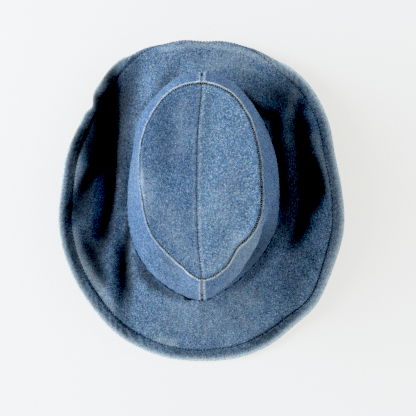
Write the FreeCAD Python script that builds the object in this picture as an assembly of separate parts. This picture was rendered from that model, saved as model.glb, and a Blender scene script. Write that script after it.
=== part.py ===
"""Denim bucket hat with a deep oval crown and a wide soft brim that rolls up at the sides.

Millimetres. +Z is up, +Y is the back of the hat and +X its right-hand side as seen from above.
The hat stands crown up on its brim; the origin is on the table under the middle of its box.
Every cloth panel is a closed solid one cloth thick, cut at the seams where the real one is sewn.
"""
import FreeCAD, Part
import math
import os

from FreeCAD import Vector

# Outlines, as radii about the crown's middle, every 15 degrees anticlockwise from the right.
CROWN_MIDDLE = (1.0, 12.0)
EDGE_RADII = (132, 129.5, 136.5, 142.5, 144, 145, 144, 146, 148, 140.5, 132.5, 132.5,
              133.5, 140.5, 147.5, 155, 164, 168, 168, 168, 161.5, 156, 146, 139)
BASE_RADII = (74, 75, 78.5, 85, 93, 103, 108, 103, 94, 85, 75.5, 71,
              70, 74, 80.5, 88, 95.5, 102, 107, 98, 90, 85, 80.5, 76)
TIP_RADII = (54.5, 55.5, 60, 67.5, 78.5, 89, 93, 91, 82, 72, 64, 57.5,
             55, 55, 58, 62.5, 66.5, 73.5, 83.5, 77, 64.5, 62.5, 59.5, 56.5)

# Heights over the table, every 30 degrees anticlockwise from the right.
TIP_HEIGHTS = (115, 116, 116, 115, 116, 116, 115, 114, 112, 110, 112, 114)
BASE_HEIGHTS = (30, 34, 42, 46, 42, 34, 30, 33, 38, 41, 38, 33)
EDGE_HEIGHTS = (36, 30, 16, 15, 15, 26, 38, 28, 10, 3, 8, 24)
BRIM_FLARE = 1.5
DOME_HEIGHT = 122.0
BAND_BULGE = 5.0

# The brim's soft folds: each a path of (x, y, height, half-width); below zero is a valley.
FOLDS = (((-81, 128, -6, 9), (-83, 106, -17, 10), (-85, 60, -22, 10), (-89, 0, -19, 8), (-98, -42, -4, 6)),
         ((-98, 34, -2, 5), (-109, 17, -5, 6), (-119, 2, -4, 5), (-125, -11, -1, 5)),
         ((-71, -16, 0, 6), (-74, -44, -11, 7), (-76, -82, -11, 7), (-77, -116, -2, 7)),
         ((-114, -30, 0, 6), (-107, -50, -7, 7), (-98, -72, 0, 6)),
         ((87, 106, 0, 8), (94, 84, -14, 9), (100, 50, -19, 10), (104, 8, -18, 11),
          (100, -18, -12, 10), (91, -46, 0, 9)),
         ((52, 104, -2, 6), (66, 82, -9, 7), (71, 54, -2, 7)))
# Folds die away at the crown and at the edge; a smaller power keeps them deep for longer.
FOLD_FADE = 0.7

# At the back the last of the brim rolls down and under.
ROLL_START = 0.78
ROLL_DROP = 14.0
ROLL_OUT = 0.90
ROLL_IN = 1.04
# Half of the stretch that rolls fully, and half of all that rolls at all, in turns.
ROLL_CORE = 0.03
ROLL_END = 0.10

# Turns round the hat run from 0 at the right, anticlockwise, to 1; the crown's seams are at these two.
FRONT_TURN = 0.75
BACK_TURN = 0.25

# Thickness of each cloth, and the gaps between the plies.
DENIM = 1.1
INTERFACING = 0.4
LINING = 0.35
SWEATBAND = 1.0
PLY_GAP = 0.15
LINING_GAP = 0.9

# How far each panel reaches over its surface, from 0 at the start to 1 at the far edge.
BRIM_REACH = (0.008, 1.0)
STIFFENER_REACH = (0.03, 0.95)
BAND_REACH = (0.01, 0.992)
LINING_BAND_REACH = (0.05, 0.96)
TIP_REACH = (0.008, 0.985)
LINING_TIP_REACH = (-0.93, 0.93)
SWEATBAND_START = 0.02
SWEATBAND_HEIGHT = 28.0

# Half the gap at the crown's seams, in turns: at the band, the sweatband's join, the tip and its lining.
SEAM_GAP = 0.0004
JOIN_GAP = 0.001
TIP_GAP = 0.01
LINING_TIP_GAP = 0.012

# Places along and across each panel that its smooth skins are drawn through.
BRIM_GRID = (91, 24)
BAND_GRID = (40, 9)
TIP_GRID = (30, 9)
LINING_TIP_GRID = (30, 18)
SWEATBAND_GRID = (72, 7)

# Topstitching: straight stitches just over the cloth.
THREAD_RADIUS = 0.35
STITCH_LENGTH = 3.6
STITCH_PITCH = 5.0
STITCH_CLEARANCE = 0.25
HEM_SHARE = 0.85
HEM_SHARE_BACK = 0.93
TIP_ROW_INSET = 2.5
CENTRE_ROW_OFFSET = 2.4
CENTRE_ROW_REACH = 0.9
BAND_ROW_REACH = (0.06, 0.95)
ROW_STEPS = 361
HALF_ROW_STEPS = 181
BAND_ROW_STEPS = 30

# Orange thread ends at the brim's edge: where they are, in turns, how far out, and half their length in turns.
FRONT_TACKS = (0.7467, 0.7525)
FRONT_TACK_SHARE = 0.965
BACK_TACKS = (0.258, 0.279, 0.298)
BACK_TACK_SHARE = 0.905
TACK_REACH = 0.0016

# Half the step used to find a surface's slope, and the way round that joins two edges without a twist.
PROBE = 0.0005
SAME_WAY = 1


def ring(values, turn):
    """A smooth closed curve through evenly spaced values; turn runs from 0 to 1 round the hat."""
    count = len(values)
    place = (turn % 1.0) * count
    k = int(place) % count
    f = place - int(place)
    before, here = values[k - 1], values[k]
    after, beyond = values[(k + 1) % count], values[(k + 2) % count]
    slope_here = (after - before) / 2
    slope_after = (beyond - here) / 2
    rise = after - here
    return here + f * (slope_here + f * (3 * rise - 2 * slope_here - slope_after
                                         + f * (slope_here + slope_after - 2 * rise)))


def outline(radii, turn):
    angle = 2 * math.pi * turn
    radius = ring(radii, turn)
    return Vector(CROWN_MIDDLE[0] + radius * math.cos(angle),
                  CROWN_MIDDLE[1] + radius * math.sin(angle), 0)


def fold_stretch(x, y, start, end):
    """Distance in half-widths from a stretch of a fold's path, and the fold's height beside it."""
    dx, dy = end[0] - start[0], end[1] - start[1]
    along = ((x - start[0]) * dx + (y - start[1]) * dy) / (dx * dx + dy * dy)
    along = min(1.0, max(0.0, along))
    height, half_width = (start[k] + (end[k] - start[k]) * along for k in (2, 3))
    return math.hypot(x - start[0] - along * dx, y - start[1] - along * dy) / half_width, height


def fold_height(x, y):
    """Sum of the brim's soft folds at a place in plan."""
    total = 0.0
    for path in FOLDS:
        off, height = min(fold_stretch(x, y, start, end) for start, end in zip(path, path[1:]))
        total += height * math.exp(-off ** 2)
    return total


def smooth_step(share):
    share = min(1.0, max(0.0, share))
    return share * share * (3 - 2 * share)


def back_roll(turn):
    """How far the edge rolls under: 1 across the middle of the back, 0 elsewhere."""
    away = abs((turn - BACK_TURN + 0.5) % 1.0 - 0.5)
    return smooth_step((ROLL_END - away) / (ROLL_END - ROLL_CORE))


def brim_surface(turn, u):
    """Upper face of the brim: u is 0 at the crown and 1 at the edge."""
    roll = back_roll(turn)
    t = max(0.0, (u - ROLL_START) / (1 - ROLL_START))
    share = u + roll * (ROLL_OUT * t ** 2 - ROLL_IN * t ** 3)
    point = outline(BASE_RADII, turn) * (1 - share) + outline(EDGE_RADII, turn) * share
    base, edge = ring(BASE_HEIGHTS, turn), ring(EDGE_HEIGHTS, turn)
    fade = max(0.0, 4 * u * (1 - u)) ** FOLD_FADE
    fall = 1 - max(0.0, 1 - u) ** BRIM_FLARE
    point.z = (base + (edge - base) * fall + fold_height(point.x, point.y) * fade
               - roll * ROLL_DROP * t ** 2)
    return point


def band_surface(turn, h):
    """Outer face of the crown's side band: h is 0 at the brim and 1 at the tip seam."""
    low, high = outline(BASE_RADII, turn), outline(TIP_RADII, turn)
    point = low * (1 - h) + high * h
    out = (low - Vector(CROWN_MIDDLE[0], CROWN_MIDDLE[1], 0)).normalize()
    point += out * BAND_BULGE * math.sin(math.pi * h)
    point.z = ring(BASE_HEIGHTS, turn) * (1 - h) + ring(TIP_HEIGHTS, turn) * h
    return point


def tip_height(x, y):
    dx, dy = x - CROWN_MIDDLE[0], y - CROWN_MIDDLE[1]
    turn = math.atan2(dy, dx) / (2 * math.pi)
    share = math.hypot(dx, dy) / ring(TIP_RADII, turn)
    return DOME_HEIGHT + (ring(TIP_HEIGHTS, turn) - DOME_HEIGHT) * share ** 2


def tip_surface(turn, s):
    """Upper face of the tip: s is 0 on the centre seam and 1 at the tip seam beside it."""
    seam = outline(TIP_RADII, turn)
    x = CROWN_MIDDLE[0] + (seam.x - CROWN_MIDDLE[0]) * s
    return Vector(x, seam.y, tip_height(x, seam.y))


def outward_normal(surface, a, b):
    """Unit normal of a surface, on the side that faces up or away from the crown's middle."""
    across = surface(a + PROBE, b) - surface(a - PROBE, b)
    along = surface(a, b + PROBE) - surface(a, b - PROBE)
    normal = across.cross(along).normalize()
    return normal if surface is band_surface else normal * -1


def spread(low, high, count):
    return [low + (high - low) * k / (count - 1) for k in range(count)]


def skin(surface, a_values, b_values, depth):
    rows = [[surface(a, b) - outward_normal(surface, a, b) * depth for b in b_values] for a in a_values]
    sheet = Part.BSplineSurface()
    sheet.interpolate(rows)
    return sheet


def rim(upper, lower, curve_of, upper_at, lower_at):
    """The narrow face that joins the edges of two skins."""
    edge = curve_of(upper, upper_at).toShape()
    below = curve_of(lower, lower_at).toShape()
    return Part.makeRuledSurface(edge, below, SAME_WAY)


def closed_solid(faces):
    shell = Part.makeShell(faces)
    shell.sewShape()
    solid = Part.makeSolid(shell)
    if solid.Volume < 0:
        solid.reverse()
    return solid


def two_skins(surface, a_range, b_range, counts, top, bottom):
    a_values = spread(a_range[0], a_range[1], counts[0])
    b_values = spread(b_range[0], b_range[1], counts[1])
    return skin(surface, a_values, b_values, top), skin(surface, a_values, b_values, bottom)


def panel(surface, a_range, b_range, counts, top, bottom):
    """A closed solid between two depths under a surface, with four edges."""
    upper, lower = two_skins(surface, a_range, b_range, counts, top, bottom)
    faces = [upper.toShape(), lower.toShape()]
    for k in (0, 1):
        faces.append(rim(upper, lower, Part.BSplineSurface.uIso, upper.bounds()[k], lower.bounds()[k]))
        faces.append(rim(upper, lower, Part.BSplineSurface.vIso, upper.bounds()[k + 2], lower.bounds()[k + 2]))
    return closed_solid(faces)


def ring_panel(surface, b_range, counts, top, bottom):
    """The same, but one piece all the way round the hat; each skin and rim is two faces."""
    upper, lower = two_skins(surface, (BACK_TURN, BACK_TURN + 1), b_range, counts, top, bottom)
    sheets = [upper, lower]
    for k in (2, 3):
        sheets.append(rim(upper, lower, Part.BSplineSurface.vIso, upper.bounds()[k], lower.bounds()[k]).Surface)
    faces = []
    for sheet in sheets:
        u0, u1, v0, v1 = sheet.bounds()
        middle = (u0 + u1) / 2
        faces.append(sheet.toShape(u0, middle, v0, v1))
        faces.append(sheet.toShape(middle, u1, v0, v1))
    return closed_solid(faces)


def halves(surface, b_range, counts, top, bottom, inset):
    """The same panel cut for the left and the right of the hat, clear of the front and back seams."""
    return {"left": panel(surface, (BACK_TURN + inset, FRONT_TURN - inset), b_range, counts, top, bottom),
            "right": panel(surface, (FRONT_TURN + inset, BACK_TURN + 1 - inset), b_range, counts, top, bottom)}


def thread_centre(surface, a, b):
    """Middle of a thread that lies just over a surface."""
    return surface(a, b) + outward_normal(surface, a, b) * (THREAD_RADIUS + STITCH_CLEARANCE)


def straight_thread(tail, head):
    return Part.makeCylinder(THREAD_RADIUS, tail.distanceToPoint(head), tail, head - tail)


def stitches(surface, path):
    """Separate straight stitches along a path of surface parameters."""
    raised = [thread_centre(surface, a, b) for a, b in path]
    distances = [0.0]
    for here, after in zip(raised, raised[1:]):
        distances.append(distances[-1] + here.distanceToPoint(after))

    def at(distance):
        k = 0
        while k < len(distances) - 2 and distances[k + 1] < distance:
            k += 1
        share = (distance - distances[k]) / (distances[k + 1] - distances[k])
        return raised[k] + (raised[k + 1] - raised[k]) * share

    pieces = []
    start = (STITCH_PITCH - STITCH_LENGTH) / 2
    while start + STITCH_LENGTH < distances[-1]:
        pieces.append(straight_thread(at(start), at(start + STITCH_LENGTH)))
        start += STITCH_PITCH
    return Part.makeCompound(pieces)


def tacks(turns, share):
    """One short thread end at each of the turns, the same way out along the brim."""
    return Part.makeCompound([straight_thread(thread_centre(brim_surface, turn - TACK_REACH, share),
                                              thread_centre(brim_surface, turn + TACK_REACH, share))
                              for turn in turns])


def hem_share(turn):
    """Brim parameter of the hem's stitched row."""
    return HEM_SHARE + (HEM_SHARE_BACK - HEM_SHARE) * back_roll(turn)


def band_height(turn):
    return ring(TIP_HEIGHTS, turn) - ring(BASE_HEIGHTS, turn)


def build():
    parts = {}
    stiffener_top = DENIM + PLY_GAP
    under_top = stiffener_top + INTERFACING + PLY_GAP
    lining_top = DENIM + LINING_GAP
    sweatband_top = lining_top + LINING + PLY_GAP

    for side, solid in halves(tip_surface, TIP_REACH, TIP_GRID, 0, DENIM, TIP_GAP).items():
        parts["tip_" + side] = solid
    for side, solid in halves(band_surface, BAND_REACH, BAND_GRID, 0, DENIM, SEAM_GAP).items():
        parts["band_" + side] = solid
    parts["brim_top"] = ring_panel(brim_surface, BRIM_REACH, BRIM_GRID, 0, DENIM)
    parts["brim_interfacing"] = ring_panel(brim_surface, STIFFENER_REACH, BRIM_GRID, stiffener_top,
                                           stiffener_top + INTERFACING)
    parts["brim_under"] = ring_panel(brim_surface, BRIM_REACH, BRIM_GRID, under_top, under_top + DENIM)

    for side, solid in halves(band_surface, LINING_BAND_REACH, BAND_GRID, lining_top,
                              lining_top + LINING, SEAM_GAP).items():
        parts["lining_band_" + side] = solid
    tip_lining_turns = (FRONT_TURN + LINING_TIP_GAP, BACK_TURN + 1 - LINING_TIP_GAP)
    parts["lining_tip"] = panel(tip_surface, tip_lining_turns, LINING_TIP_REACH, LINING_TIP_GRID,
                                lining_top, lining_top + LINING)
    sweatband_turns = (BACK_TURN + JOIN_GAP, BACK_TURN + 1 - JOIN_GAP)
    sweatband_reach = (SWEATBAND_START, SWEATBAND_HEIGHT / band_height(0))
    parts["sweatband"] = panel(band_surface, sweatband_turns, sweatband_reach, SWEATBAND_GRID,
                               sweatband_top, sweatband_top + SWEATBAND)

    around = spread(0, 1, ROW_STEPS)
    parts["topstitch_hem"] = stitches(brim_surface, [(t, hem_share(t)) for t in around])
    parts["topstitch_tip_edge"] = stitches(band_surface,
                                           [(t, 1 - TIP_ROW_INSET / band_height(t)) for t in around])
    half = spread(BACK_TURN + LINING_TIP_GAP, FRONT_TURN - LINING_TIP_GAP, HALF_ROW_STEPS)
    for name, x in (("left", -CENTRE_ROW_OFFSET), ("right", CENTRE_ROW_OFFSET)):
        row = [(t, x / (outline(TIP_RADII, t).x - CROWN_MIDDLE[0])) for t in half]
        row = [(t, share) for t, share in row if abs(share) < CENTRE_ROW_REACH]
        parts["topstitch_centre_" + name] = stitches(tip_surface, row)
    aside = CENTRE_ROW_OFFSET / ring(BASE_RADII, FRONT_TURN) / (2 * math.pi)
    up_the_band = spread(BAND_ROW_REACH[0], BAND_ROW_REACH[1], BAND_ROW_STEPS)
    for name, turn in (("front", FRONT_TURN + aside), ("back", BACK_TURN - aside)):
        parts["topstitch_band_" + name] = stitches(band_surface, [(turn, h) for h in up_the_band])
    parts["edge_tacks_front"] = tacks(FRONT_TACKS, FRONT_TACK_SHARE)
    parts["edge_tacks_back"] = tacks(BACK_TACKS, BACK_TACK_SHARE)
    return parts


def place_on_table(parts):
    """Move everything so that the origin is under the middle of the hat's box, on the table."""
    box = FreeCAD.BoundBox()
    for shape in parts.values():
        box.add(shape.optimalBoundingBox(False))
    shift = Vector(-(box.XMin + box.XMax) / 2, -(box.YMin + box.YMax) / 2, -box.ZMin)
    for shape in parts.values():
        shape.translate(shift)
    return box


if __name__ == "__main__":
    os.makedirs("parts", exist_ok=True)
    hat = build()
    size = place_on_table(hat)
    for node, shape in hat.items():
        shape.exportStep("parts/" + node + ".step")
        print(node, "solids", len(shape.Solids), "volume", round(shape.Volume), "valid", shape.isValid())
    print("box", round(size.XLength, 1), round(size.YLength, 1), round(size.ZLength, 1))
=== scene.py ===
"""Denim bucket hat seen from straight above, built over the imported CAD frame.

Shapes are worked out in millimetres from the same outlines and heights as the CAD model, with the
finer relief of real cloth added: hem, roping, seams, puckers and soft waves. Meshes are in metres.
"""

import bpy
import numpy as np
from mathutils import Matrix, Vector


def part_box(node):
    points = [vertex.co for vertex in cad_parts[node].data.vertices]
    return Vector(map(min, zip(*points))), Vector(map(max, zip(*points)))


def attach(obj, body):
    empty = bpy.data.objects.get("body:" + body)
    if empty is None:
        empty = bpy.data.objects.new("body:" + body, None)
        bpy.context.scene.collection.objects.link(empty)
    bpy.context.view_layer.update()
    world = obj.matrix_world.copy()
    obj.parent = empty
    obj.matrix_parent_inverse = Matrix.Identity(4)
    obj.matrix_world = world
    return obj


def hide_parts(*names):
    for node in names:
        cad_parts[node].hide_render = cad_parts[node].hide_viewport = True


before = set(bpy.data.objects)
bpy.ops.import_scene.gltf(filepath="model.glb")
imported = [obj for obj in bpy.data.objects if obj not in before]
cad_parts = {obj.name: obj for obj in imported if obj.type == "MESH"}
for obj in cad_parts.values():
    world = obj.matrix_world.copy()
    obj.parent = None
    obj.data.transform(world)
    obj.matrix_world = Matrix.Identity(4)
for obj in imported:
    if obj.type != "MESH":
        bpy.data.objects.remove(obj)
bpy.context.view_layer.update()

MM = 0.001

# ---- outlines shared with the CAD model
CROWN_MIDDLE = np.array((1.0, 12.0))
EDGE_RADII = (132, 129.5, 136.5, 142.5, 144, 145, 144, 146, 148, 140.5, 132.5, 132.5,
              133.5, 140.5, 147.5, 155, 164, 168, 168, 168, 161.5, 156, 146, 139)
BASE_RADII = (74, 75, 78.5, 85, 93, 103, 108, 103, 94, 85, 75.5, 71,
              70, 74, 80.5, 88, 95.5, 102, 107, 98, 90, 85, 80.5, 76)
TIP_RADII = (54.5, 55.5, 60, 67.5, 78.5, 89, 93, 91, 82, 72, 64, 57.5,
             55, 55, 58, 62.5, 66.5, 73.5, 83.5, 77, 64.5, 62.5, 59.5, 56.5)
TIP_HEIGHTS = (115, 116, 116, 115, 116, 116, 115, 114, 112, 110, 112, 114)
BASE_HEIGHTS = (30, 34, 42, 46, 42, 34, 30, 33, 38, 41, 38, 33)
EDGE_HEIGHTS = (36, 30, 16, 15, 15, 26, 38, 28, 10, 3, 8, 24)
BRIM_FLARE = 1.5
DOME_HEIGHT = 122.0
BAND_BULGE = 5.0
FOLDS = (((-81, 128, -6, 9), (-83, 106, -17, 10), (-85, 60, -22, 10), (-89, 0, -19, 8), (-98, -42, -4, 6)),
         ((-98, 34, -2, 5), (-109, 17, -5, 6), (-119, 2, -4, 5), (-125, -11, -1, 5)),
         ((-71, -16, 0, 6), (-74, -44, -11, 7), (-76, -82, -11, 7), (-77, -116, -2, 7)),
         ((-114, -30, 0, 6), (-107, -50, -7, 7), (-98, -72, 0, 6)),
         ((87, 106, 0, 8), (94, 84, -14, 9), (100, 50, -19, 10), (104, 8, -18, 11),
          (100, -18, -12, 10), (91, -46, 0, 9)),
         ((52, 104, -2, 6), (66, 82, -9, 7), (71, 54, -2, 7)))
FOLD_ENDS = 0.7  # how soon a fold dies away at the crown and at the edge
ROLL_START = 0.78
ROLL_DROP = 14.0
ROLL_OUT = 0.90
ROLL_IN = 1.04
ROLL_CORE = 0.03
ROLL_END = 0.10
HEM_SHARE = 0.85
HEM_SHARE_BACK = 0.93
FRONT_TURN = 0.75
BACK_TURN = 0.25
EDGE_WAY = 880.0  # once round the brim's edge
BAND_WAY = 540.0  # once round the band
SEAM_WAY = 560.0  # the same, as measured beside the front and back seams
BAND_RISE = 80.0  # the band's height for the layers inside it

# Bumps round the hat, as (height, centre, half-width), with the last two in turns from the right side.
HEM_NARROWER = ((0.045, 0.875, 0.035),)
SCALLOPED = ((0.9, 0.85, 0.045),)
SCALLOP_PITCH = 0.0625
SCALLOP_CREST = 0.8125
EDGE_OUT = ((0.8, 0.84, 0.03), (0.8, 0.95, 0.025), (0.64, 0.055, 0.025), (0.4, 0.565, 0.015),
            (-1.3, 0.245, 0.055), (-4.6, 0.398, 0.008))

# ---- cloth
DENIM = 1.1
BRIM_DENIM = 0.9
INTERFACING = 0.4
LINING = 0.35
SWEATBAND = 1.0
UNDER_DEPTH = 1.8
STIFFENER_DEPTH = 1.25
LINING_DEPTH = 2.2
SWEATBAND_DEPTH = 2.9
LIP_RADIUS = 1.45
LIP_RETURN = 3.0
SEAM_ALLOWANCE = 2.5
# Levels of the weave's third direction, so that no two panels show the same piece of cloth.
INNER_CLOTH = 300.0
BAND_CLOTH = 700.0
TIP_CLOTH = 1400.0


def ring(values, turn):
    """A smooth closed curve through evenly spaced values; turn runs from 0 to 1 round the hat."""
    values = np.asarray(values, dtype=float)
    count = len(values)
    place = np.mod(turn, 1.0) * count
    k = np.floor(place).astype(int) % count
    f = place - np.floor(place)
    before, here = values[k - 1], values[k]
    after, beyond = values[(k + 1) % count], values[(k + 2) % count]
    slope_here = (after - before) / 2
    slope_after = (beyond - here) / 2
    rise = after - here
    return here + f * (slope_here + f * (3 * rise - 2 * slope_here - slope_after
                                         + f * (slope_here + slope_after - 2 * rise)))


def smooth_step(share):
    share = np.clip(share, 0.0, 1.0)
    return share * share * (3 - 2 * share)


def bump(value, centre, half_width):
    return np.exp(-((value - centre) / half_width) ** 2)


def turn_from(turn, centre):
    """Signed distance round the hat, in turns."""
    return np.mod(turn - centre + 0.5, 1.0) - 0.5


def turn_bump(turn, centre, half_width):
    return np.exp(-(turn_from(turn, centre) / half_width) ** 2)


def turn_bumps(turn, bumps):
    """Several bumps round the hat added up, each given as (height, centre, half-width)."""
    return sum(height * turn_bump(turn, centre, half_width) for height, centre, half_width in bumps)


def outline(radii, turn):
    """Points of an outline round the crown's middle."""
    angle = 2 * np.pi * turn
    radius = ring(radii, turn)
    return np.stack((CROWN_MIDDLE[0] + radius * np.cos(angle),
                     CROWN_MIDDLE[1] + radius * np.sin(angle)), axis=-1)


def path_strength(x, y, path, sharpness):
    """How much a path of (x, y, strength, half-width) points adds at a place on or beside it."""
    best = np.full(np.shape(x), np.inf)
    value = np.zeros(np.shape(x))
    for start, end in zip(path, path[1:]):
        dx, dy = end[0] - start[0], end[1] - start[1]
        along = np.clip(((x - start[0]) * dx + (y - start[1]) * dy) / (dx * dx + dy * dy), 0, 1)
        strength = start[2] + (end[2] - start[2]) * along
        half_width = start[3] + (end[3] - start[3]) * along
        off = np.hypot(x - start[0] - along * dx, y - start[1] - along * dy) / half_width
        nearer = off < best
        best = np.where(nearer, off, best)
        value = np.where(nearer, strength, value)
    return value * np.exp(-best ** sharpness)


def paths_strength(x, y, paths, sharpness=2):
    return sum(path_strength(x, y, path, sharpness) for path in paths)


def waves(x, y, wavelength, seed, count=7):
    """Smooth seeded noise between about -1 and 1: a few sine waves in random directions."""
    rng = np.random.default_rng(seed)
    total = np.zeros(np.shape(x))
    for _ in range(count):
        angle = rng.uniform(0, 2 * np.pi)
        length = wavelength * rng.uniform(0.7, 1.5)
        phase = rng.uniform(0, 2 * np.pi)
        total += np.sin(2 * np.pi * (x * np.cos(angle) + y * np.sin(angle)) / length + phase)
    return total / np.sqrt(count)


def waves_along(along, wavelength, seed):
    return waves(along, along * 0, wavelength, seed, 5)


def back_roll(turn):
    """1 where the back edge rolls under, 0 elsewhere."""
    return smooth_step((ROLL_END - np.abs(turn_from(turn, BACK_TURN))) / (ROLL_END - ROLL_CORE))


def hem_share(turn):
    """How far out the hem's inner line lies, as a share of the brim's width."""
    return HEM_SHARE + (HEM_SHARE_BACK - HEM_SHARE) * back_roll(turn) + turn_bumps(turn, HEM_NARROWER)


def edge_ripple(turn):
    """How far the edge stands out from its outline: a dent at the back left, scallops at the front right."""
    scallops = np.cos(2 * np.pi * (turn - SCALLOP_CREST) / SCALLOP_PITCH) * turn_bumps(turn, SCALLOPED)
    return scallops + turn_bumps(turn, EDGE_OUT)


def brim_surface(turn, u, rippled=1.0):
    """Upper face of the brim: u is 0 at the crown and 1 at the edge."""
    roll = back_roll(turn)
    t = np.maximum(0.0, (u - ROLL_START) / (1 - ROLL_START))
    share = (u + roll * (ROLL_OUT * t ** 2 - ROLL_IN * t ** 3))[..., None]
    ripple = (rippled * edge_ripple(turn) * np.clip(u, 0, 1) ** 4)[..., None]
    flat = outline(BASE_RADII, turn) * (1 - share) + outline(EDGE_RADII, turn) * share
    angle = 2 * np.pi * turn
    flat = flat + ripple * np.stack((np.cos(angle), np.sin(angle)), axis=-1)
    base, edge = ring(BASE_HEIGHTS, turn), ring(EDGE_HEIGHTS, turn)
    fade = np.maximum(0.0, 4 * u * (1 - u)) ** FOLD_ENDS
    fall = 1 - np.maximum(0.0, 1 - u) ** BRIM_FLARE
    folds = paths_strength(flat[..., 0], flat[..., 1], FOLDS)
    z = base + (edge - base) * fall + folds * fade - roll * ROLL_DROP * t ** 2
    return np.concatenate((flat, z[..., None]), axis=-1)


def band_surface(turn, h):
    """Outer face of the crown's side band: h is 0 at the brim and 1 at the tip seam."""
    low, high = outline(BASE_RADII, turn), outline(TIP_RADII, turn)
    out = low - CROWN_MIDDLE
    out = out / np.linalg.norm(out, axis=-1, keepdims=True)
    flat = low * (1 - h[..., None]) + high * h[..., None] + out * (BAND_BULGE * np.sin(np.pi * h))[..., None]
    z = ring(BASE_HEIGHTS, turn) * (1 - h) + ring(TIP_HEIGHTS, turn) * h
    return np.concatenate((flat, z[..., None]), axis=-1)


def tip_share(x, y):
    """Distance from the crown's middle as a share of the tip seam's."""
    dx, dy = x - CROWN_MIDDLE[0], y - CROWN_MIDDLE[1]
    turn = np.arctan2(dy, dx) / (2 * np.pi)
    return np.hypot(dx, dy) / ring(TIP_RADII, turn), turn


def dome(x, y):
    """Height of the tip's upper face."""
    share, turn = tip_share(x, y)
    return DOME_HEIGHT + (ring(TIP_HEIGHTS, turn) - DOME_HEIGHT) * share ** 2


def tip_surface(turn, s):
    """Upper face of the tip: s is 0 on the centre seam and 1 at the tip seam beside it."""
    seam = outline(TIP_RADII, turn)
    x = CROWN_MIDDLE[0] + (seam[..., 0] - CROWN_MIDDLE[0]) * s
    y = seam[..., 1]
    return np.stack((x, y, dome(x, y)), axis=-1)


# ---- placing: the frame's own box says where
def frame_shift():
    """The move from the outlines' origin to the frame's, from the brim's box and the tip's top."""
    turn, u = np.meshgrid(np.linspace(0, 1, 721), np.linspace(0.008, 1, 121), indexing="ij")
    shape = brim_surface(turn, u, 0.0).reshape(-1, 3)
    low, high = (np.array(corner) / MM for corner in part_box("brim_top"))
    shift = (low + high) / 2 - (shape.min(axis=0) + shape.max(axis=0)) / 2
    shift[2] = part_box("tip_left")[1][2] / MM - DOME_HEIGHT
    return shift


SHIFT = frame_shift()


def crowded(start, end, count, even):
    """Places from start to end that lie closer together near both."""
    lean = np.linspace(-1, 1, count)
    return (start + end) / 2 + (end - start) / 2 * (even * lean + (1 - even) * np.sin(lean * np.pi / 2))


def grid_normals(points, closed):
    """Unit normals of a grid of points, from its neighbours."""
    if closed:
        along = np.roll(points, -1, axis=0) - np.roll(points, 1, axis=0)
    else:
        along = np.gradient(points, axis=0)
    across = np.gradient(points, axis=1)
    normal = np.cross(along, across)
    return normal / np.maximum(np.linalg.norm(normal, axis=-1, keepdims=True), 1e-9)


def join(piece, node_name):
    """The piece rides on the hat's one body and stands for a CAD node."""
    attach(piece, "root")
    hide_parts(node_name)


def link(mesh, name, material):
    piece = bpy.data.objects.new(name, mesh)
    bpy.context.scene.collection.objects.link(piece)
    mesh.materials.append(material)
    return piece


def new_piece(name, verts, faces, material):
    """A smooth piece from points in mm from the outlines' origin."""
    mesh = bpy.data.meshes.new(name)
    mesh.from_pydata(((verts + SHIFT) * MM).tolist(), [], faces)
    mesh.polygons.foreach_set("use_smooth", np.ones(len(mesh.polygons), dtype=bool))
    mesh.validate()
    mesh.update()
    return link(mesh, name, material)


def add_layers(mesh, layers, total):
    """The outer face's values, point by point, and the same again for the inner face."""
    for name, values in layers.items():
        values = np.tile(np.reshape(values, (total, -1)), (2, 1)).astype(np.float32)
        kind, field = ("FLOAT_VECTOR", "vector") if values.shape[1] == 3 else ("FLOAT", "value")
        mesh.attributes.new(name, kind, "POINT").data.foreach_set(field, values.ravel())


def cloth_place(across, along, level):
    """The place on the cloth that the weave is drawn at."""
    return np.stack((across, along, np.full_like(across, level)), axis=-1)


def cloth_layers(across, along, level, fade, wear_and_highlight):
    return {"fade": np.clip(fade, 0, 1), "wear_and_highlight": np.clip(wear_and_highlight, 0, 1),
            "weave": cloth_place(across, along, level)}


def sheet_mesh(name, points, closed, thickness, side, layers, material):
    """A closed sheet one cloth thick from a grid of points on its outer face.

    side is +1 or -1 and turns the grid's normal to the outer face; layers are per-point values.
    """
    rows, columns = points.shape[:2]
    normal = grid_normals(points, closed) * side
    inner = points - normal * thickness
    verts = np.concatenate((points.reshape(-1, 3), inner.reshape(-1, 3)))
    index = np.arange(rows * columns).reshape(rows, columns)
    after = np.roll(index, -1, axis=0) if closed else index[1:]
    here = index if closed else index[:-1]
    quads = np.stack((here[:, :-1], after[:, :-1], after[:, 1:], here[:, 1:]), axis=-1).reshape(-1, 4)
    total = rows * columns
    if side < 0:
        quads = quads[:, ::-1]
    faces = [quads, quads[:, ::-1] + total]
    edges = [(here[:, 0], after[:, 0], 1), (here[:, -1], after[:, -1], -1)]
    if not closed:
        edges += [(index[0, :-1], index[0, 1:], -1), (index[-1, :-1], index[-1, 1:], 1)]
    for first, second, way in edges:
        rim = np.stack((first, first + total, second + total, second), axis=-1)
        faces.append(rim if way * side > 0 else rim[:, ::-1])
    piece = new_piece(name, verts, np.concatenate(faces).tolist(), material)
    add_layers(piece.data, layers, total)
    return piece


# ---- materials
def new_material(name, roughness, sheen=0.0):
    """A material with its node tree and its shader."""
    material = bpy.data.materials.new(name)
    material.use_nodes = True
    tree = material.node_tree
    shader = tree.nodes["Principled BSDF"]
    for name, value in (("Roughness", roughness), ("Sheen Weight", sheen), ("Sheen Roughness", 0.5),
                        ("Specular IOR Level", 0.25)):
        shader.inputs[name].default_value = value
    return material, tree, shader


def node(tree, kind, **settings):
    """A new node; each setting is the value of the input with its name, or a property."""
    made = tree.nodes.new(kind)
    for key, value in settings.items():
        if key in made.inputs:
            made.inputs[key].default_value = value
        else:
            setattr(made, key, value)
    return made


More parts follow.
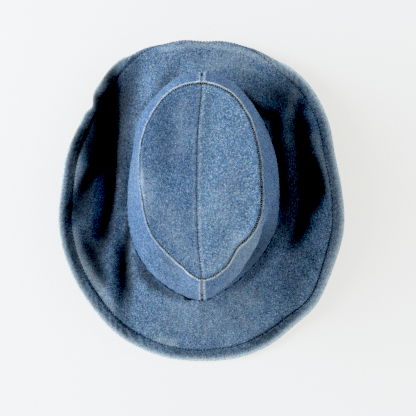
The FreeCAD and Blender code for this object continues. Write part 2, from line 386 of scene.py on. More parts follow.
def feed(tree, socket, value):
    """Gives a socket a number, a colour, or another node's output."""
    if isinstance(value, (int, float)):
        socket.default_value = value
    elif isinstance(value, tuple):
        socket.default_value = value + (1.0,)
    elif value is not None:
        tree.links.new(value, socket)


def math_node(tree, operation, first, second=None, clamp=False):
    made = node(tree, "ShaderNodeMath", operation=operation, use_clamp=clamp)
    for socket, value in zip(made.inputs, (first, second)):
        feed(tree, socket, value)
    return made.outputs[0]


def times(tree, first, second, clamp=False):
    return math_node(tree, "MULTIPLY", first, second, clamp)


def mix_colour(tree, factor, first, second, blend="MIX"):
    made = node(tree, "ShaderNodeMix", data_type="RGBA", blend_type=blend, clamp_factor=True)
    for name, value in (("Factor", factor), ("A", first), ("B", second)):
        feed(tree, [socket for socket in made.inputs if socket.name == name and socket.enabled][0], value)
    return [socket for socket in made.outputs if socket.enabled][0]


def weighted(tree, parts):
    """Several levels added up, each times its share."""
    total = 0.0
    for part, share in parts:
        total = math_node(tree, "ADD", times(tree, part, share), total)
    return total


def layer(tree, name, output="Fac"):
    """The values of one of the mesh's layers."""
    return node(tree, "ShaderNodeAttribute", attribute_name=name).outputs[output]


def stretched(tree, vector, stretch):
    scaled = node(tree, "ShaderNodeVectorMath", operation="MULTIPLY")
    tree.links.new(vector, scaled.inputs[0])
    scaled.inputs[1].default_value = stretch
    return scaled.outputs[0]


def noise(tree, vector, scale, detail, roughness, stretch=None):
    if stretch:
        vector = stretched(tree, vector, stretch)
    made = node(tree, "ShaderNodeTexNoise", Scale=scale, Detail=detail, Roughness=roughness)
    tree.links.new(vector, made.inputs["Vector"])
    return made.outputs["Fac"]


def yarn_cells(tree, vector, scale, stretch):
    """A random level for every crossing of the yarns."""
    cells = node(tree, "ShaderNodeTexVoronoi", distance="CHEBYCHEV", Scale=scale, Randomness=0.5)
    tree.links.new(stretched(tree, vector, stretch), cells.inputs["Vector"])
    split = node(tree, "ShaderNodeSeparateColor")
    tree.links.new(cells.outputs["Color"], split.inputs[0])
    return split.outputs[0]


def ramp(tree, value, low, high):
    """From 0 to 1 as the value goes from low to high."""
    made = node(tree, "ShaderNodeMapRange", **{"From Min": low, "From Max": high})
    tree.links.new(value, made.inputs["Value"])
    return made.outputs["Result"]


def add_relief(tree, shader, height, strength, distance):
    relief = node(tree, "ShaderNodeBump", Strength=strength, Distance=distance)
    tree.links.new(height, relief.inputs["Height"])
    tree.links.new(relief.outputs["Normal"], shader.inputs["Normal"])


# The dark colour stands for deep indigo and for painted shade; the pale white for worn ridges and for
# painted highlights.
INDIGO_AND_SHADE_DARK = (0.008, 0.011, 0.017)
DEEP_YARN = (0.010, 0.038, 0.105)
PALE_YARN = (0.215, 0.400, 0.630)
WEFT_WHITE = (0.62, 0.72, 0.72)
WORN_AND_LIT_WHITE = (0.66, 0.79, 0.83)
GREEN_CAST = (0.90, 1.03, 1.00)
RED_CAST = (1.12, 0.97, 1.02)
VIOLET_PATCH = (0.20, 0.24, 0.46)
GRAIN_MIDDLE = 0.5
GRAIN_SPREAD = 0.25
CAST_STRENGTH = 0.55
PATCH_STRENGTH = 0.22
WEFT_STRENGTH = 0.52
DARK_END_GRAIN = 0.045  # how much of the washed cloth's grain shows in the dark end, which is both deep indigo and painted shade


def denim(name, tint, contrast=1.0):
    """Washed twill: yarns on a diagonal, white flecks, slubs, blotches, and wear from the mesh.

    Mesh layers: weave is a place on the cloth in millimetres, fade runs from 0 for the dark end, deep indigo
    and painted shade, to 1 for washed cloth, and wear_and_highlight is how pale a rubbed ridge or a painted
    highlight is.
    """
    material, tree, shader = new_material(name, 0.92, 0.08)
    weave, fade, wear_and_highlight = layer(tree, "weave", "Vector"), layer(tree, "fade"), layer(tree, "wear_and_highlight")

    twill = node(tree, "ShaderNodeTexWave", bands_direction="DIAGONAL", wave_profile="SIN",
                 Scale=0.36, Distortion=1.6, Detail=2.0)
    twill.inputs["Detail Scale"].default_value = 1.3
    tree.links.new(weave, twill.inputs["Vector"])
    yarn = twill.outputs["Fac"]
    warp = yarn_cells(tree, weave, 1.4, (1.05, 0.95, 1.0))
    fibre = yarn_cells(tree, weave, 2.5, (1.2, 0.85, 1.0))
    slub = noise(tree, weave, 0.9, 1.0, 0.5, stretch=(1.0, 0.14, 1.0))
    pick = noise(tree, weave, 0.9, 1.0, 0.5, stretch=(0.16, 1.0, 1.0))
    mottle = noise(tree, weave, 0.20, 2.0, 0.6, stretch=(1.0, 0.5, 1.0))
    blotch = noise(tree, weave, 0.045, 3.0, 0.55)

    grain = weighted(tree, ((warp, 0.28), (fibre, 0.22), (slub, 0.19), (pick, 0.13),
                                    (mottle, 0.12), (yarn, 0.06)))
    spread = GRAIN_SPREAD / contrast
    level = ramp(tree, grain, GRAIN_MIDDLE - spread, GRAIN_MIDDLE + spread)
    cloth = mix_colour(tree, level, DEEP_YARN, PALE_YARN)
    weft = ramp(tree, yarn_cells(tree, weave, 1.45, (0.95, 1.05, 1.0)), 0.80, 0.90)
    flecks = times(tree, weft, WEFT_STRENGTH)
    cloth = mix_colour(tree, flecks, cloth, WEFT_WHITE)
    tone = ramp(tree, noise(tree, weave, 0.16, 2.0, 0.5), 0.35, 0.65)
    cast = mix_colour(tree, tone, GREEN_CAST, RED_CAST)
    cloth = mix_colour(tree, CAST_STRENGTH, cloth, cast, "MULTIPLY")
    patch = times(tree, ramp(tree, blotch, 0.3, 0.7), PATCH_STRENGTH)
    cloth = mix_colour(tree, patch, cloth, VIOLET_PATCH, "MULTIPLY")
    cloth = mix_colour(tree, 1.0, cloth, tint, "MULTIPLY")
    # Paler where the cloth is worn and where a highlight is painted.
    worn = times(tree, wear_and_highlight, ramp(tree, grain, 0.15, 0.5), clamp=True)
    cloth = mix_colour(tree, worn, cloth, WORN_AND_LIT_WHITE)
    # The dark end: deep indigo, and painted shade wherever the fade layer is low.
    dark_end = mix_colour(tree, DARK_END_GRAIN, INDIGO_AND_SHADE_DARK, cloth)
    cloth = mix_colour(tree, fade, dark_end, cloth)
    tree.links.new(cloth, shader.inputs["Base Color"])
    add_relief(tree, shader, weighted(tree, ((yarn, 0.5), (grain, 1.0))), 0.35, 0.0003)
    return material


def plain_cloth(name, colour, second, scale):
    """Plain weave: crossed yarns at one scale with a little unevenness."""
    material, tree, shader = new_material(name, 0.85)
    weave = layer(tree, "weave", "Vector")
    warp = node(tree, "ShaderNodeTexWave", bands_direction="X", Scale=scale, Distortion=0.8)
    weft = node(tree, "ShaderNodeTexWave", bands_direction="Y", Scale=scale, Distortion=0.8)
    for made in (warp, weft):
        tree.links.new(weave, made.inputs["Vector"])
    crossed = times(tree, warp.outputs["Fac"], weft.outputs["Fac"])
    uneven = noise(tree, weave, 0.5, 3.0, 0.6)
    level = weighted(tree, ((crossed, 1.0), (uneven, 0.6)))
    tree.links.new(mix_colour(tree, ramp(tree, level, 0.2, 1.1), colour, second),
              shader.inputs["Base Color"])
    add_relief(tree, shader, level, 0.35, 0.0002)
    return material


def thread(name, colour, shade):
    """Sewing thread: fine plies round each stitch and uneven fading along the row."""
    material, tree, shader = new_material(name, 0.6, 0.2)
    place = node(tree, "ShaderNodeTexCoord").outputs["Object"]
    uneven = noise(tree, place, 160.0, 3.0, 0.6)
    plies = node(tree, "ShaderNodeTexWave", bands_direction="DIAGONAL", Scale=900.0, Distortion=1.0)
    tree.links.new(place, plies.inputs["Vector"])
    level = weighted(tree, ((uneven, 0.7), (plies.outputs["Fac"], 0.3)))
    tree.links.new(mix_colour(tree, level, shade, colour), shader.inputs["Base Color"])
    add_relief(tree, shader, plies.outputs["Fac"], 0.4, 0.0001)
    return material


DENIM_TOP = denim("denim_washed", tint=(1.08, 1.04, 1.02), contrast=1.12)
DENIM_TIP = {"left": denim("denim_tip_left", tint=(0.85, 0.87, 0.92), contrast=1.06),
             "right": denim("denim_tip_right", tint=(1.40, 1.35, 1.31), contrast=0.88)}
DENIM_BAND = denim("denim_band", tint=(0.80, 0.91, 1.04), contrast=1.5)
DENIM_UNDER = denim("denim_under", tint=(0.62, 0.66, 0.74))
STIFFENER = plain_cloth("stiffener_white", (0.55, 0.54, 0.50), (0.78, 0.77, 0.73), 0.8)
LINING_CLOTH = plain_cloth("lining_navy", (0.02, 0.03, 0.06), (0.06, 0.08, 0.14), 1.4)
TAPE_CLOTH = plain_cloth("tape_navy", (0.012, 0.018, 0.035), (0.04, 0.05, 0.085), 0.9)
THREAD_DARK = thread("thread_dark", (0.02, 0.03, 0.05), (0.004, 0.006, 0.012))
THREAD_CREAM = thread("thread_cream", (0.86, 0.82, 0.70), (0.45, 0.44, 0.40))
THREAD_TAN = thread("thread_tan", (0.36, 0.26, 0.17), (0.08, 0.07, 0.07))
THREAD_ORANGE = thread("thread_orange", (0.80, 0.46, 0.10), (0.38, 0.20, 0.05))


# ---- brim
def brim_width(turn):
    return np.linalg.norm(outline(EDGE_RADII, turn) - outline(BASE_RADII, turn), axis=-1)


def hem_place(turn, u):
    """The brim's width, the distance in from its edge, and the hem's own width."""
    width = brim_width(turn)
    return width, (1 - u) * width, (1 - hem_share(turn)) * width


GROOVED = ((0.7, 0.89, 0.07), (0.35, 0.66, 0.06), (-0.6, 0.25, 0.13))
ROPED = ((1.0, 0.145, 0.035), (0.9, 0.665, 0.05), (0.3, 0.9, 0.1))
RIM_WORN_AND_SHADED = ((1.3, 0.92, 0.07), (0.5, 0.06, 0.06), (-0.9, 0.45, 0.08))
# Painted shade on the hem's inner part, as (share of the wash painted over, centre, half-length, soft end)
# in turns.
HEM_DARK = ((0.72, 0.51, 0.11, 0.04), (0.34, 0.79, 0.09, 0.03), (0.32, 0.02, 0.11, 0.05))
HEM_DARK_SPOT = ((0.30, 0.655, 0.05),)
ROPE_PITCH = 7.5
ROPE_SLANT = 9.0
PUCKER_PITCH = 7.4
GATHER_PITCH = 9.5
STEP_WIDTH = 1.6  # how wide the step at the hem's inner edge is


def groove_depth(turn):
    """How deep and dark the line inside the hem is: faint at the back, strongest at the front right."""
    return 0.75 + turn_bumps(turn, GROOVED) + 0.15 * waves_along(turn * EDGE_WAY, 60.0, 8)


def hem_shade(turn):
    """Painted shade on the inner part of the hem where its roll turns from the light, as a share of the
    wash: most on the left, some at the front.
    """
    shade = turn_bumps(turn, HEM_DARK_SPOT)
    for lost, centre, half_length, soft_end in HEM_DARK:
        shade = shade + lost * smooth_step((half_length - np.abs(turn_from(turn, centre))) / soft_end)
    return shade


def roping(turn, inward):
    """The hem's slanted ridges: how strong they are here, and the wave itself from -1 to 1."""
    along = turn * EDGE_WAY
    skewed = along / ROPE_PITCH + inward / ROPE_SLANT + 0.5 * waves_along(along, 40.0, 5)
    return 0.3 + turn_bumps(turn, ROPED), np.sin(2 * np.pi * skewed)


def brim_relief(turn, u):
    """Height of the cloth's own relief over the smooth brim: hem, groove, roping and waves."""
    width, inward, hem = hem_place(turn, u)
    along = turn * EDGE_WAY
    place = brim_surface(turn, u)
    x, y = place[..., 0], place[..., 1]
    inside = smooth_step((hem - inward) / STEP_WIDTH)
    relief = 0.9 * inside - 0.55 * groove_depth(turn) * bump(inward, hem + 0.4, 1.2)
    strength, ropes = roping(turn, inward)
    relief += 0.20 * strength * ropes * inside * smooth_step((inward - 0.5) / 3.0)
    uneven = 0.3 * waves_along(along, 30.0, 9)
    puckers = 0.22 * strength * np.sin(2 * np.pi * (along / PUCKER_PITCH + uneven))
    relief += puckers * np.exp(-np.maximum(0.0, inward - hem) / 6.0) * (1 - inside)
    uneven = 0.4 * waves_along(along, 35.0, 3)
    relief += 0.30 * np.sin(2 * np.pi * (along / GATHER_PITCH + uneven)) * np.exp(-u * width / 6.0)
    relief += 0.65 * waves(x, y, 46.0, 11) * (1 - 0.5 * inside)
    relief += 0.22 * waves(x, y, 17.0, 12) * (1 - inside)
    return relief


# Painted shade on the brim, laid in as dark indigo: the shade in the folds, the crown's shadow on the
# right side, and the shade along the crown's base; paths of (x, y, strength, half-width), in mm from the
# outlines' origin.
PAINTED_SHADE_PATHS = (
    ((-66, 132, 0.55, 9), (-69, 114, 0.66, 10), (-69, 100, 0.7, 9), (-70, 86, 0.62, 9), (-72, 58, 0.7, 8),
     (-75, 0, 0.65, 8), (-74, -14, 0.3, 6)),
    ((-87, 120, 0.8, 11), (-87, 97, 0.98, 12), (-85, 68, 0.97, 10), (-85, 52, 0.97, 10), (-85, 34, 1, 9),
     (-87, 20, 1, 7), (-88, 0, 1, 7), (-90, -19, 1, 7), (-93, -35, 0.98, 7.5), (-98, -50, 0.65, 6)),
    ((-98, 97, 0.9, 9), (-99, 68, 1, 9), (-99, 52, 1, 9), (-94, 34, 0.95, 8)),
    ((-106, 80, 0.45, 7), (-109, 66, 0.85, 9), (-108, 52, 0.97, 9), (-103, 33, 1, 9), (-110, 14, 1, 9),
     (-115, 2, 0.97, 8), (-121, -9, 0.85, 8), (-125, -17, 0.5, 7)),
    ((-104, 26, 0.8, 6), (-109, 12, 0.6, 6)),
    ((-108, 2, 0.4, 8), (-113, -14, 0.6, 8)),
    ((-112, -30, 0.45, 7), (-110, -40, 0.75, 7), (-105, -47, 0.93, 8), (-102, -57, 0.97, 7.5),
     (-98, -69, 0.9, 7.5), (-94, -80, 0.5, 5)),
    ((-70, -14, 0.3, 4), (-70, -24, 0.85, 4), (-71, -34, 0.95, 5.5), (-73, -46, 0.97, 6.5),
     (-74, -60, 0.98, 7.5), (-74, -72, 0.93, 9), (-73, -84, 0.88, 8.5), (-73, -96, 0.78, 8),
     (-74, -106, 0.55, 8), (-75, -118, 0.35, 7), (-72, -129, 0.25, 7)),
    ((-83, -10, 0.35, 7), (-83, -26, 0.35, 8)),
    ((-73, 122, 0.3, 6), (-75, 104, 0.68, 6), (-75, 90, 0.68, 6), (-77, 78, 0.4, 5)),
    ((-104, 30, 0.3, 28), (-106, -20, 0.46, 28), (-96, -62, 0.28, 24)),
    ((-102, -20, 0.25, 7), (-103, -30, 0.5, 8)),
    ((-137, 6, 0.15, 8), (-135, -30, 0.1, 8), (-122, -66, 0.1, 8), (-100, -98, 0.2, 8)),
    ((-62, -54, 0.5, 4), (-54, -70, 0.75, 8), (-44, -81, 0.75, 8), (-29, -89, 0.6, 6), (-15, -94, 0.4, 4)),
    ((-15, -93.2, 1, 1.7), (-10, -94.2, 1, 1.4)),
    ((78, -22, 0.5, 6), (68, -43, 0.55, 6), (58, -60, 0.6, 6), (44, -74, 0.5, 5), (28, -85, 0.3, 5)),
    ((42, 100, 0.85, 6), (50, 92, 0.95, 8), (60, 84, 1, 10), (70, 78, 1, 12), (72, 60, 0.95, 9),
     (74, 38, 0.93, 8), (77, 12, 0.85, 6), (77, -14, 0.4, 5)),
    ((96, 84, 0.7, 5), (98, 74, 0.95, 7), (99, 54, 1, 8.5), (102, 34, 1, 10), (104, 14, 1, 11),
     (102, -5, 1, 9.5), (98, -24, 0.97, 9), (92, -38, 0.8, 8), (94, -50, 0.3, 9)),
    ((108, 38, 0.8, 6), (114, 20, 0.95, 6), (115, 10, 0.9, 6), (108, -4, 0.8, 7)),
    ((86, 74, 0.5, 10), (86, 50, 0.76, 12), (87, 25, 0.8, 14), (87, 0, 0.84, 13), (86, -24, 0.78, 11),
     (84, -42, 0.5, 10)),
    ((84, -60, 0.25, 12), (84, -92, 0.2, 9)),
    ((-14, 143, 0.12, 8), (-24, 129, 0.33, 8), (-33, 114, 0.6, 8), (-42, 100, 0.4, 6), (-60, 84, 0.3, 6)),
    ((46, 112, 0.3, 12), (62, 106, 0.55, 11), (74, 101, 0.85, 10), (80, 92, 0.75, 9)),
    ((72, 120, 0.35, 9), (82, 112, 0.5, 9), (85, 102, 0.45, 6), (90, 90, 0.35, 5), (88, 68, 0.35, 5)),
    ((90, 112, 0.35, 8), (96, 104, 0.5, 8), (98, 92, 0.8, 6)),
    ((-117, 66, 0.5, 4), (-120, 56, 0.75, 5), (-121, 46, 0.65, 5), (-125, 32, 0.3, 4)),
    ((-28, -122, 0.12, 8), (-24, -112, 0.08, 8)),
    ((106, -52, 0.25, 9), (98, -80, 0.15, 8), (86, -112, 0.3, 8), (66, -131, 0.5, 6), (52, -138, 0.3, 6)),
)
# Where the cloth is rubbed paler, with painted highlights on the lit strips beside the hem, in the same
# terms.
RUBBED_AND_LIT = (
    ((108, 62, 0.3, 5), (119, 32, 0.3, 4), (124, 8, 0.25, 5)),
    ((108, 98, 0.2, 3), (121, 74, 0.3, 4), (128, 48, 0.25, 4), (132, 10, 0.2, 4), (128, -30, 0.2, 5)),
    ((-121, 42, 0.4, 5), (-119, 26, 0.45, 5), (-122, 10, 0.2, 4)),
    ((-122, -28, 0.25, 4), (-119, -44, 0.45, 5), (-114, -58, 0.45, 6), (-106, -72, 0.4, 5),
     (-98, -84, 0.35, 5), (-86, -104, 0.25, 4)),
    ((-40, 147, 0.25, 3), (0, 151, 0.28, 3), (38, 147, 0.32, 3.5), (71, 133, 0.35, 4.5), (95, 114, 0.25, 4)),
    ((-40, -136, 0.25, 5), (-28, -139, 0.25, 5)),
    ((-84, 131, 0.45, 6), (-103, 105, 0.5, 6), (-112, 88, 0.35, 4)),
    ((90, 104, 0.25, 4), (86, 88, 0.2, 4)),
    ((12, 132, 0.14, 9), (36, 140, 0.18, 8), (43, 127, 0.15, 9)),
    ((-20, -112, 0.08, 22), (20, -116, 0.1, 22), (44, -122, 0.1, 16)),
    ((36, -92, 0.12, 10), (50, -94, 0.12, 10)),
)


def wash_left_after_shade(x, y):
    """Share of the washed colour left after every path of painted shade has taken its part."""
    left = np.ones(np.shape(x))
    for path in PAINTED_SHADE_PATHS:
        left = left * (1 - np.clip(path_strength(x, y, path, 2.5), 0, 1))
    return left


def brim_layers(turn, u, place):
    """Fade with painted shade, paleness with worn edges and painted highlights, and place on the cloth over
    the brim.
    """
    x, y = place[..., 0], place[..., 1]
    _, inward, hem = hem_place(turn, u)
    strength, ropes = roping(turn, inward)
    on_hem = smooth_step((hem - inward) / STEP_WIDTH)
    # Painted shade: the brim's shade paths, and the darker inner part of the hem.
    fade = wash_left_after_shade(x, y) * (1 - hem_shade(turn) * on_hem * smooth_step((inward - 1.8) / 3.5))
    fade -= 0.42 * groove_depth(turn) * bump(inward, hem + 0.5, 1.0)
    # Painted shade between the hem's slanted ridges and a painted highlight on their crests.
    fade -= 0.09 * strength * (1 - ropes) * on_hem * smooth_step((inward - 1.5) / 2.0)
    # Pale worn rim along the edge, with less of it on the left as painted shade.
    rim = 2.1 + turn_bumps(turn, RIM_WORN_AND_SHADED)
    wear_and_highlight = 0.97 * np.exp(-inward / rim) * (1 - 0.15 * turn_bump(turn, 0.56, 0.07))
    wear_and_highlight = wear_and_highlight + 0.10 * strength * np.maximum(ropes, 0) * on_hem
    # Rubbed paler paths, some of which are painted highlights on lit strips.
    wear_and_highlight = np.maximum(wear_and_highlight, paths_strength(x, y, RUBBED_AND_LIT, 3))
    return cloth_layers(x, y, 0.0, fade, wear_and_highlight)


BRIM_TURNS = 900
UNDER_TURNS = 600


def make_brim_top():
    """The upper layer with its edge turned over: a hem, then a round lip that goes under."""
    u_values = np.concatenate(((0.003, 0.005, 0.008), np.linspace(0.015, 0.74, 44, endpoint=False),
                               np.linspace(0.74, 1.0, 46)))
    turn, u = np.meshgrid(np.arange(BRIM_TURNS) / BRIM_TURNS, u_values, indexing="ij")
    smooth = brim_surface(turn, u)
    normal = -grid_normals(smooth, True)
    points = smooth + normal * brim_relief(turn, u)[..., None]
    normal = -grid_normals(points, True)
    layers = brim_layers(turn, u, smooth)
    layers = {key: np.concatenate((value[:, :1], value), axis=1) for key, value in layers.items()}
    flange = points[:, :1] + np.array((0.0, 0.0, -SEAM_ALLOWANCE))
    points = np.concatenate((flange, points), axis=1)
    normal = np.concatenate((normal[:, :1], normal), axis=1)

    edge, up = points[:, -1], normal[:, -1]
    out = edge - points[:, -2]
    out = out / np.linalg.norm(out, axis=-1, keepdims=True)
    rows = [(edge + LIP_RADIUS * (np.sin(angle) * out + (np.cos(angle) - 1) * up), LIP_RADIUS * angle)
            for angle in np.radians(np.linspace(20, 180, 9))]
    rows.append((rows[-1][0] - out * LIP_RETURN, rows[-1][1] + LIP_RETURN))
    points = np.concatenate([points] + [row[:, None] for row, _ in rows], axis=1)
    for key, value in layers.items():
        way = out[:, None] if key == "weave" else 0.0
        layers[key] = np.concatenate([value] + [value[:, -1:] + way * onward for _, onward in rows], axis=1)
    return sheet_mesh("brim_upper_cloth", points, True, BRIM_DENIM, -1, layers, DENIM_TOP)


def make_brim_layer(name, depth, thickness, u_range, material):
    """A layer under the upper one, whose face follows it at a depth."""
    turn, u = np.meshgrid(np.arange(UNDER_TURNS) / UNDER_TURNS, np.linspace(*u_range, 60), indexing="ij")
    smooth = brim_surface(turn, u)
    normal = -grid_normals(smooth, True)
    points = smooth + normal * (brim_relief(turn, u) - depth)[..., None]
    layers = brim_layers(turn, u, smooth)
    layers["wear_and_highlight"] = layers["wear_and_highlight"] * 0.5
    return sheet_mesh(name, points, True, thickness, -1, layers, material)


# ---- crown band
CREASE_TOP = 0.905  # where the crease comes nearest to the tip seam, in turns
CREASE_TOP_LEVEL = 0.84
PLY_PITCH = 2.2
DRAWN_IN = ((1.87, 0.125, 0.055), (0.66, 0.96, 0.05), (0.88, 0.60, 0.05), (2.42, 0.425, 0.03))
SEAM_WORN = ((0.9, 0.20, 0.06), (0.5, 0.81, 0.05), (0.2, 0.30, 0.05), (0.35, 0.715, 0.04),
             (-0.25, 0.475, 0.04))


def band_crease(turn):
    """The soft crease at the crown's lower right: how strong it is, and how far up the band it runs."""
    past = turn_from(turn, CREASE_TOP)
    return (turn_bump(turn, 0.86, 0.075),
            CREASE_TOP_LEVEL + 4.2 * np.minimum(past, 0) - 2.0 * np.maximum(past, 0))


def band_hollow(turn):
    """The shallow hollow at the crown's lower left."""
    return turn_bump(turn, 0.675, 0.05)


def band_place(turn, h):
    """On the band, in mm: the way round, the distance over the brim, and that under the tip seam."""
    height = ring(TIP_HEIGHTS, turn) - ring(BASE_HEIGHTS, turn)
    return turn * BAND_WAY, h * height, (1 - h) * height


def band_relief(turn, h):
    """Height of the cloth's own relief over the smooth band: welt, seams, crease, hollow and waves."""
    along, above, below = band_place(turn, h)
    middle = np.sin(np.pi * np.clip(h, 0, 1))
    relief = 0.95 * smooth_step((4.0 - below) / 1.8) * (1 - bump(below, 0, 0.9))
    relief -= 0.3 * bump(below, 0, 0.6)
    for seam in (FRONT_TURN, BACK_TURN):
        aside = np.abs(turn_from(turn, seam)) * SEAM_WAY
        relief += 0.5 * smooth_step((5.0 - aside) / 1.5) - 1.1 * bump(aside, 0, 0.8)
    relief += (0.7 * waves(along, above, 50.0, 21) - turn_bumps(turn, DRAWN_IN)) * middle
    relief += 0.18 * waves(along, above, 14.0, 22)
    uneven = 0.3 * waves_along(along, 30.0, 23)
    relief += 0.25 * np.sin(2 * np.pi * (along / 8.0 + uneven)) * np.exp(-above / 7)
    crease, level = band_crease(turn)
    relief += crease * (1.6 * bump(h, level + 0.10, 0.10) - 2.6 * bump(h, level - 0.12, 0.13))
    hollow = band_hollow(turn)
    relief += hollow * (-2.6 * bump(h, 0.72, 0.16) + 2.2 * bump(h, 0.38, 0.15))
    relief += hollow * 0.35 * bump(h, 0.70, 0.15) * np.sin(2 * np.pi * (along / 7.0 + above / 16.0))
    return relief


def band_layers(turn, h):
    """Fade with painted shade, paleness with worn ridges and painted highlights, and place on the cloth over
    the band.
    """
    along, above, below = band_place(turn, h)
    to_front, to_back = turn_from(turn, FRONT_TURN), turn_from(turn, BACK_TURN)
    aside = np.minimum(np.abs(to_front), np.abs(to_back)) * SEAM_WAY
    crease, level = band_crease(turn)
    # Painted shade: under the crease at the lower right, in the hollow at the lower left, a dark spot under
    # the tip seam at the front left, and low on the band at the back right.
    band_painted_shade = crease * (0.60 * smooth_step((level - h) / 0.10) + 0.25 * bump(h, level - 0.05, 0.05)) \
        + 0.15 * band_hollow(turn) * bump(h, 0.60, 0.12) \
        + 0.45 * turn_bump(turn, 0.68, 0.022) * bump(h, 0.84, 0.12) \
        + 0.20 * turn_bump(turn, 0.14, 0.06) * smooth_step((0.6 - h) / 0.4)
    fade = 1.0 - band_painted_shade - 0.7 * bump(aside, 0, 0.6) - 0.8 * bump(below, 0, 0.4)
    ply = 0.82 + 0.18 * np.sin(2 * np.pi * along / PLY_PITCH)
    ridge_width = 2.2 + 1.1 * turn_bump(turn, 0.20, 0.05)
    ridge = np.clip(0.42 + turn_bumps(turn, SEAM_WORN), 0, 1) * ply \
        * smooth_step((below - 0.1) / 0.3) * smooth_step((ridge_width - below) / 0.8)
    # Pale worn ridges beside the seams and under the tip seam; the paleness above the crease and towards the
    # top on the left is a painted highlight.
    wear_and_highlight = np.maximum(ridge, 0.6 * bump(aside, 2.0, 0.8)) + 0.12 * turn_bump(turn, 0.70, 0.05) * h \
        + 0.26 * crease * smooth_step((h - level) / 0.08) + 0.10 * turn_bump(turn, 0.47, 0.07) * h
    return cloth_layers(along, above, BAND_CLOTH, fade, wear_and_highlight)


def band_grid(start, end, h_range, columns, rows):
    """A grid on the band, closer together near the seams."""
    h_values = h_range[0] + (h_range[1] - h_range[0]) * (1 - (1 - np.linspace(0, 1, rows)) ** 1.5)
    return np.meshgrid(crowded(start, end, columns, 0.6), h_values, indexing="ij")


def make_band(name, start, end):
    turn, h = band_grid(start, end, (-0.03, 0.998), 420, 90)
    smooth = band_surface(turn, h)
    points = smooth + grid_normals(smooth, False) * band_relief(turn, h)[..., None]
    return sheet_mesh(name, points, False, DENIM, 1, band_layers(turn, h), DENIM_BAND)


def make_band_layer(name, start, end, h_range, depth, thickness, material):
    """A layer inside the band, which follows it loosely at a depth."""
    turn, h = band_grid(start, end, h_range, 240, 40)
    smooth = band_surface(turn, h)
    along, above = turn * BAND_WAY, h * BAND_RISE
    lift = 0.8 * np.minimum(band_relief(turn, h), 1.5) - depth - 0.4 + 0.175 * waves(along, above, 26.0, 31)
    points = smooth + grid_normals(smooth, False) * lift[..., None]
    layers = {"weave": cloth_place(along, above, INNER_CLOTH)}
    return sheet_mesh(name, points, False, thickness, 1, layers, material)


# ---- tip
CENTRE_BEND = -4.2
CENTRE_HALF = 88.0


def bend_centre(points):
    """The centre seam wanders a little to the left between its ends."""
    share, _ = tip_share(points[..., 0], points[..., 1])
    y = (points[..., 1] - CROWN_MIDDLE[1]) / CENTRE_HALF
    moved = points.copy()
    moved[..., 0] += CENTRE_BEND * np.clip(1 - y ** 4, 0, 1) * np.clip(1 - share ** 4, 0, 1)
    return moved


def flattened(turn):
    """Where the tip seam is worn flat and nearly vanishes, at the crown's left."""
    return turn_bump(turn, 0.484, 0.045)


def tip_place(x, y):
    """On the tip: the place round it in turns, and the distances in mm from its edge and its centre seam."""
    share, turn = tip_share(x, y)
    return turn, (1 - share) * ring(TIP_RADII, turn), np.abs(x - CROWN_MIDDLE[0])


def tip_relief(x, y):
    """Height of the cloth's own relief over the smooth tip: seams, welts and waves."""
    turn, inward, aside = tip_place(x, y)
    relief = -1.3 * (1 - 0.8 * flattened(turn)) * bump(inward, 0, 1.4)
    relief += 0.30 * bump(inward, 3.8, 2.0)
    relief += -0.25 * bump(aside, 0, 0.4) + 0.30 * bump(aside, 3.0, 1.9)
    relief += (0.7 * waves(x, y, 60.0, 41) + 0.16 * waves(x, y, 16.0, 42)) * np.clip(inward / 8.0, 0, 1)
    return relief


# Softly darker and paler parts of the tip, as (x, y, strength, half-width) in mm.
TIP_DARK = (
    ((-33, 86, 0.20, 9), (-31, 58, 0.32, 11), (-29, 30, 0.24, 10), (-28, 10, 0.1, 8)),
    ((8, 92, 0.22, 7), (8, 70, 0.24, 8), (5, 18, 0.16, 6), (5, 2, 0.05, 6)),
)
TIP_PALE = (
    ((-14, 84, 0.12, 7), (-13, 44, 0.10, 7)),
    ((-26, -8, 0.10, 10), (-20, -34, 0.14, 10), (-8, -52, 0.12, 9)),
    ((30, 10, 0.08, 14), (22, -14, 0.12, 14), (-8, -16, 0.06, 10)),
    ((-46, 22, 0.10, 8), (-46, 6, 0.18, 8), (-44, -10, 0.12, 8)),
    ((35, -36, 0.24, 8), (27, -48, 0.16, 7), (10, -62, 0.12, 8)),
)


def tip_layers(x, y):
    """Fade, wear and place on the cloth over the tip."""
    turn, inward, aside = tip_place(x, y)
    worn_away = flattened(turn)
    line = (1 - worn_away) * (1 - 0.35 * turn_bump(turn, 0.76, 0.06))
    fade = 1.0 - line * np.exp(-(inward / 1.45) ** 4) - 0.4 * bump(aside, 0, 0.35)
    fade -= paths_strength(x, y, TIP_DARK)
    wear_and_highlight = 0.12 * bump(aside, 2.6, 1.3) + 0.35 * worn_away * bump(inward, 1.5, 3.0)
    wear_and_highlight += paths_strength(x, y, TIP_PALE)
    return cloth_layers(x, y, TIP_CLOTH, fade, wear_and_highlight)


def make_tip(name, start, end, material):
    ease = np.linspace(0, 1, 110)
    s_values = 0.003 + 0.993 * (0.35 * ease + 0.65 * (1 - np.cos(np.pi * ease)) / 2)
    turn, s = np.meshgrid(crowded(start, end, 300, 0.7), s_values, indexing="ij")
    smooth = tip_surface(turn, s)
    x, y = smooth[..., 0], smooth[..., 1]
    points = bend_centre(smooth)
    points[..., 2] += tip_relief(x, y)
    return sheet_mesh(name, points, False, DENIM, -1, tip_layers(x, y), material)


def make_tip_lining():
    turn, s = np.meshgrid(np.linspace(FRONT_TURN + 0.012, BACK_TURN + 0.988, 160),
                          np.linspace(-0.92, 0.92, 100), indexing="ij")
    points = tip_surface(turn, s)
    x, y = points[..., 0], points[..., 1]
    points[..., 2] += -LINING_DEPTH - 1.0 + 0.5 * waves(x, y, 40.0, 51)
    layers = {"weave": cloth_place(x, y, 0.0)}
    return sheet_mesh("lining_tip_cloth", points, False, LINING, -1, layers, LINING_CLOTH)


